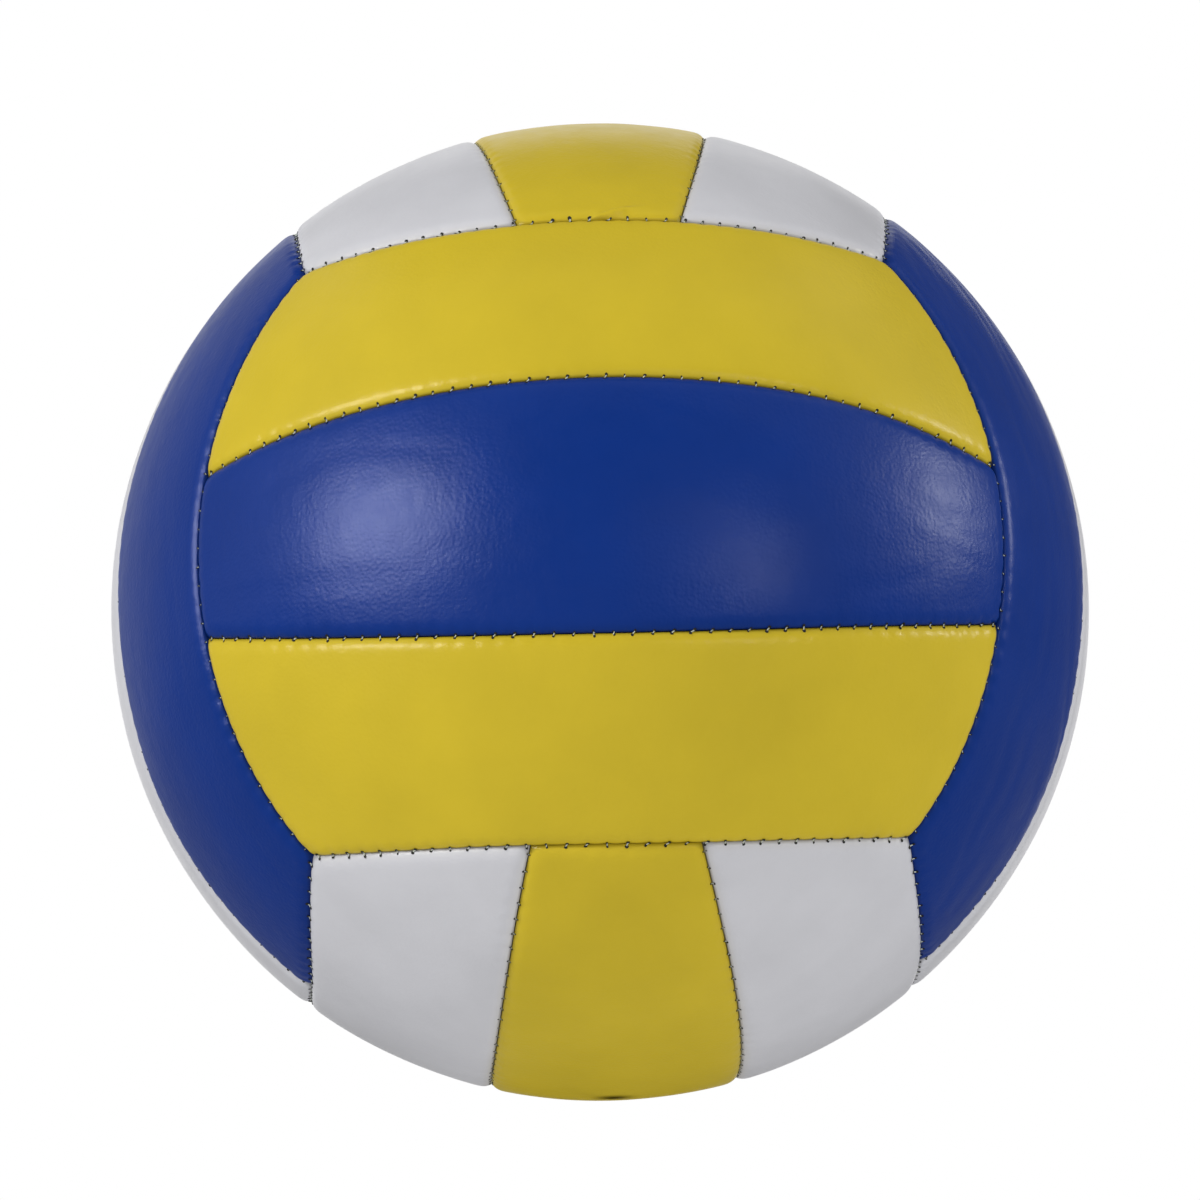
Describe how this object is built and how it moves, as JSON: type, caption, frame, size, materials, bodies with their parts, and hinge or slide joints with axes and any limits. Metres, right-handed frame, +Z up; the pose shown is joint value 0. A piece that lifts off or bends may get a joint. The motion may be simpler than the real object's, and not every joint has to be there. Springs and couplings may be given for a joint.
{
  "type": "volleyball",
  "caption": "Sewn volleyball of three-strip panel groups in yellow, blue and white over foam, cloth and an inflated bladder with a needle valve.",
  "frame": {"origin": "middle of the ball", "axes": "+Z up through the middle of the top face, -Y towards the front face whose strips lie level, +X to the viewer's right; the valve is in the middle of the back face on +Y"},
  "size_m": [0.21, 0.2098, 0.21],
  "materials": {
    "yellow_skin": "satin",
    "blue_skin": "satin",
    "white_skin": "satin",
    "foam": "matte",
    "cloth": "matte",
    "thread": "matte",
    "bladder_rubber": "matte",
    "valve_rubber": "matte",
    "plug_rubber": "satin"
  },
  "bodies": {
    "root": {"top_left_cover": "white_skin", "top_middle_cover": "yellow_skin", "top_right_cover": "white_skin", "bottom_right_cover": "white_skin", "bottom_middle_cover": "yellow_skin", "bottom_left_cover": "white_skin", "right_front_cover": "blue_skin", "right_middle_cover": "white_skin", "right_back_cover": "blue_skin", "left_back_cover": "blue_skin", "left_middle_cover": "white_skin", "left_front_cover": "blue_skin", "back_lower_cover": "yellow_skin", "back_middle_cover": "blue_skin", "back_upper_cover": "yellow_skin", "front_upper_cover": "yellow_skin", "front_middle_cover": "blue_skin", "front_lower_cover": "yellow_skin", "top_left_foam": "foam", "top_middle_foam": "foam", "top_right_foam": "foam", "bottom_right_foam": "foam", "bottom_middle_foam": "foam", "bottom_left_foam": "foam", "right_front_foam": "foam", "right_middle_foam": "foam", "right_back_foam": "foam", "left_back_foam": "foam", "left_middle_foam": "foam", "left_front_foam": "foam", "back_lower_foam": "foam", "back_middle_foam": "foam", "back_upper_foam": "foam", "front_upper_foam": "foam", "front_middle_foam": "foam", "front_lower_foam": "foam", "top_cloth": "cloth", "bottom_cloth": "cloth", "right_cloth": "cloth", "left_cloth": "cloth", "back_cloth": "cloth", "front_cloth": "cloth", "top_thread": "thread", "bottom_thread": "thread", "right_thread": "thread", "left_thread": "thread", "back_thread": "thread", "front_thread": "thread", "bladder": "bladder_rubber", "valve_patch": "bladder_rubber", "valve_housing": "valve_rubber", "valve_plug": "plug_rubber"}
  },
  "joints": []
}
